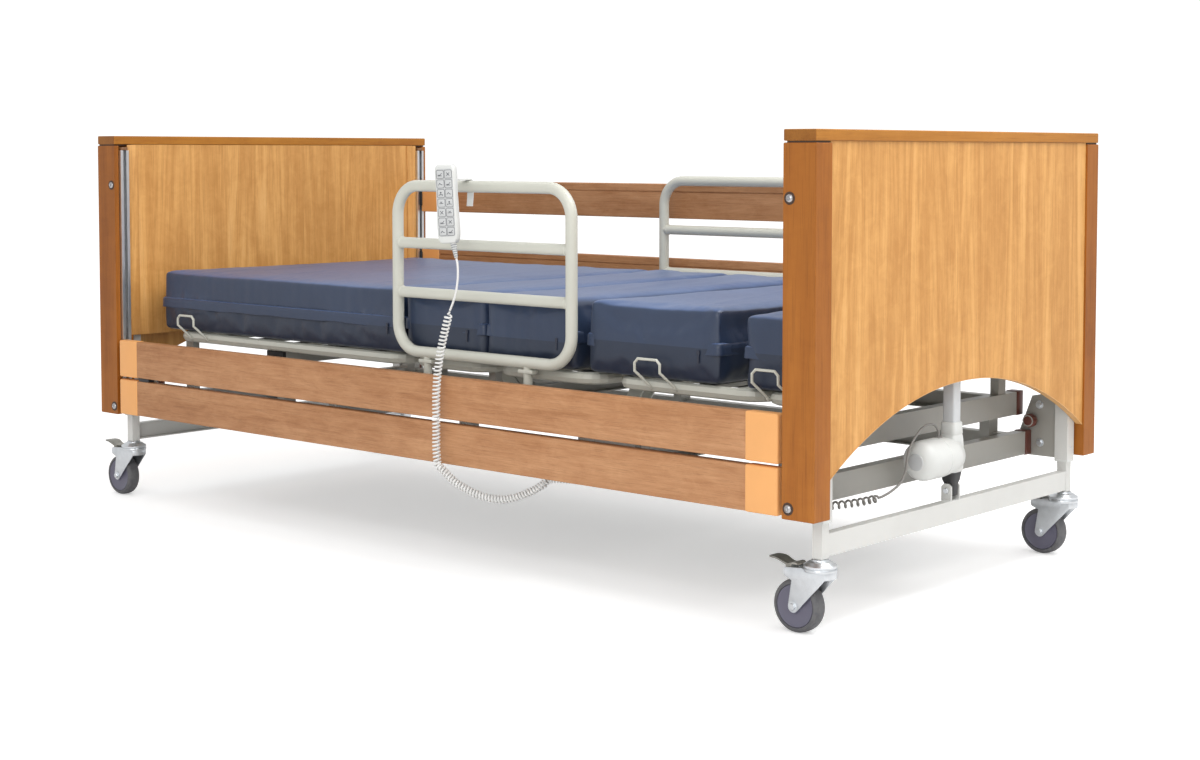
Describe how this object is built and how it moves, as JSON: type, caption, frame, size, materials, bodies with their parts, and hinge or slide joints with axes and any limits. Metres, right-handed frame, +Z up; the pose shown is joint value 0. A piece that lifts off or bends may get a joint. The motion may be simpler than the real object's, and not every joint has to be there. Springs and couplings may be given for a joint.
{
  "type": "adjustable hospital bed",
  "caption": "Electrically adjustable nursing bed with timber ends, sliding wooden side rails, tubular grab rails, sectioned mattress, column height drives and braked castors.",
  "frame": {"origin": "middle of the footprint at floor level, with the bed at its lowest", "axes": "+X along the bed towards its foot end, +Y towards the side whose rails are raised, +Z up"},
  "size_m": [2.27, 1.1036, 0.92],
  "materials": {
    "oak_panel": "oak laminate, satin",
    "stained_timber": "stained beech, satin lacquer",
    "walnut_rail": "walnut-stained beech with moulded end caps",
    "aluminium": "anodised extrusion",
    "cream_paint": "cream powder coat",
    "grey_paint": "warm grey powder coat",
    "zinc": "zinc plate",
    "white_plastic": "moulded, light grey-white",
    "black_plastic": "moulded, fine texture",
    "navy_cover": "coated stretch cover, matt",
    "grey_tyre": "grey tread on a moulded hub",
    "white_cord": "flexible sheath",
    "grey_cord": "flexible sheath"
  },
  "bodies": {
    "foot_base": {"foot_leg_frame": "cream_paint", "foot_lift_drive": "white_plastic", "lift_cord": "grey_cord", "lift_cord_coil": "grey_cord"},
    "platform": {"chassis": "grey_paint", "seat_frame": "cream_paint", "control_box": "black_plastic", "head_panel": "oak_panel", "head_cap_rail": "stained_timber", "head_end_frame": "grey_paint", "head_lift_rod": "aluminium", "foot_panel": "oak_panel", "foot_cap_rail": "stained_timber", "foot_end_frame": "grey_paint", "foot_lift_rod": "aluminium", "head_near_post": "stained_timber", "head_far_post": "stained_timber", "foot_near_post": "stained_timber", "foot_far_post": "stained_timber", "head_near_channel": "aluminium", "head_far_channel": "aluminium", "foot_near_channel": "aluminium", "foot_far_channel": "aluminium", "seat_mattress": "navy_cover", "near_grab_rail": "cream_paint", "far_grab_rail": "cream_paint", "handset": "white_plastic", "handset_hook": "white_plastic", "backrest_drive": "black_plastic", "thigh_drive": "black_plastic", "handset_cord": "white_cord", "handset_coil": "white_cord"},
    "head_base": {"head_leg_frame": "cream_paint", "head_lift_drive": "white_plastic"},
    "backrest": {"backrest_frame": "cream_paint", "backrest_mattress": "navy_cover"},
    "thigh": {"thigh_frame": "cream_paint", "thigh_mattress": "navy_cover"},
    "calf": {"calf_frame": "cream_paint", "calf_mattress": "navy_cover", "infill_mattress": "navy_cover"},
    "backrest_ram": {"backrest_drive_rod": "aluminium"},
    "thigh_ram": {"thigh_drive_rod": "aluminium"},
    "near_upper_rail_body": {"near_upper_rail": "walnut_rail"},
    "near_lower_rail_body": {"near_lower_rail": "walnut_rail"},
    "far_upper_rail_body": {"far_upper_rail": "walnut_rail"},
    "far_lower_rail_body": {"far_lower_rail": "walnut_rail"},
    "head_near_castor": {"head_near_castor_fork": "zinc"},
    "head_near_wheel_body": {"head_near_wheel": "grey_tyre"},
    "head_near_pedal_body": {"head_near_pedal": "zinc"},
    "head_far_castor": {"head_far_castor_fork": "zinc"},
    "head_far_wheel_body": {"head_far_wheel": "grey_tyre"},
    "head_far_pedal_body": {"head_far_pedal": "zinc"},
    "foot_near_castor": {"foot_near_castor_fork": "zinc"},
    "foot_near_wheel_body": {"foot_near_wheel": "grey_tyre"},
    "foot_near_pedal_body": {"foot_near_pedal": "zinc"},
    "foot_far_castor": {"foot_far_castor_fork": "zinc"},
    "foot_far_wheel_body": {"foot_far_wheel": "grey_tyre"},
    "foot_far_pedal_body": {"foot_far_pedal": "zinc"}
  },
  "joints": [
    {"name": "bed_lift", "type": "slide", "parent": "foot_base", "child": "platform", "axis": [0, 0, 1], "range_m": [0, 0.4]},
    {"name": "head_lift", "type": "slide", "parent": "platform", "child": "head_base", "axis": [0, 0, -1], "range_m": [0, 0.4]},
    {"name": "backrest_tilt", "type": "hinge", "parent": "platform", "child": "backrest", "pos_m": [-0.04, 0.0208, 0.4185], "axis": [0, 1, 0], "range_deg": [0, 70]},
    {"name": "thigh_tilt", "type": "hinge", "parent": "platform", "child": "thigh", "pos_m": [0.22, 0.0208, 0.4185], "axis": [0, -1, 0], "range_deg": [0, 35]},
    {"name": "calf_tilt", "type": "hinge", "parent": "thigh", "child": "calf", "pos_m": [0.5475, 0.0208, 0.4185], "axis": [0, -1, 0], "range_deg": [-58.5, 0]},
    {"name": "backrest_ram_slide", "type": "slide", "parent": "platform", "child": "backrest_ram", "axis": [-1, 0, 0], "range_m": [0, 0.19]},
    {"name": "thigh_ram_slide", "type": "slide", "parent": "platform", "child": "thigh_ram", "axis": [1, 0, 0], "range_m": [0, 0.12]},
    {"name": "near_upper_rail_slide", "type": "slide", "parent": "platform", "child": "near_upper_rail_body", "axis": [0, 0, 1], "range_m": [0, 0.39]},
    {"name": "near_lower_rail_slide", "type": "slide", "parent": "platform", "child": "near_lower_rail_body", "axis": [0, 0, 1], "range_m": [0, 0.2961]},
    {"name": "far_upper_rail_slide", "type": "slide", "parent": "platform", "child": "far_upper_rail_body", "axis": [0, 0, 1], "range_m": [-0.39, 0]},
    {"name": "far_lower_rail_slide", "type": "slide", "parent": "platform", "child": "far_lower_rail_body", "axis": [0, 0, 1], "range_m": [-0.2961, 0]},
    {"name": "head_near_swivel", "type": "hinge", "parent": "head_base", "child": "head_near_castor", "pos_m": [-1.03, -0.4392, 0.1417], "axis": [0, 0, 1], "continuous": true},
    {"name": "head_near_spin", "type": "hinge", "parent": "head_near_castor", "child": "head_near_wheel_body", "pos_m": [-1.076, -0.4392, 0.05], "axis": [0, 1, 0], "continuous": true},
    {"name": "head_near_brake", "type": "hinge", "parent": "head_near_castor", "child": "head_near_pedal_body", "pos_m": [-1.092, -0.4392, 0.116], "axis": [0, -1, 0], "range_deg": [0, 6]},
    {"name": "head_far_swivel", "type": "hinge", "parent": "head_base", "child": "head_far_castor", "pos_m": [-1.03, 0.4808, 0.1417], "axis": [0, 0, 1], "continuous": true},
    {"name": "head_far_spin", "type": "hinge", "parent": "head_far_castor", "child": "head_far_wheel_body", "pos_m": [-1.076, 0.4808, 0.05], "axis": [0, 1, 0], "continuous": true},
    {"name": "head_far_brake", "type": "hinge", "parent": "head_far_castor", "child": "head_far_pedal_body", "pos_m": [-1.092, 0.4808, 0.116], "axis": [0, -1, 0], "range_deg": [0, 6]},
    {"name": "foot_near_swivel", "type": "hinge", "parent": "foot_base", "child": "foot_near_castor", "pos_m": [1.1, -0.4392, 0.1417], "axis": [0, 0, 1], "continuous": true},
    {"name": "foot_near_spin", "type": "hinge", "parent": "foot_near_castor", "child": "foot_near_wheel_body", "pos_m": [1.054, -0.4392, 0.05], "axis": [0, 1, 0], "continuous": true},
    {"name": "foot_near_brake", "type": "hinge", "parent": "foot_near_castor", "child": "foot_near_pedal_body", "pos_m": [1.038, -0.4392, 0.116], "axis": [0, -1, 0], "range_deg": [0, 6]},
    {"name": "foot_far_swivel", "type": "hinge", "parent": "foot_base", "child": "foot_far_castor", "pos_m": [1.1, 0.4808, 0.1417], "axis": [0, 0, 1], "continuous": true},
    {"name": "foot_far_spin", "type": "hinge", "parent": "foot_far_castor", "child": "foot_far_wheel_body", "pos_m": [1.054, 0.4808, 0.05], "axis": [0, 1, 0], "continuous": true},
    {"name": "foot_far_brake", "type": "hinge", "parent": "foot_far_castor", "child": "foot_far_pedal_body", "pos_m": [1.038, 0.4808, 0.116], "axis": [0, -1, 0], "range_deg": [0, 6]}
  ],
  "couplings": [
    {"joint": "head_lift", "follows": "bed_lift", "ratio": 1},
    {"joint": "calf_tilt", "follows": "thigh_tilt", "ratio": -1.66},
    {"joint": "backrest_ram_slide", "follows": "backrest_tilt", "m_per_rad": 0.1514},
    {"joint": "thigh_ram_slide", "follows": "thigh_tilt", "m_per_rad": 0.1719},
    {"joint": "near_lower_rail_slide", "follows": "near_upper_rail_slide", "ratio": 0.759},
    {"joint": "far_lower_rail_slide", "follows": "far_upper_rail_slide", "ratio": 0.759}
  ]
}
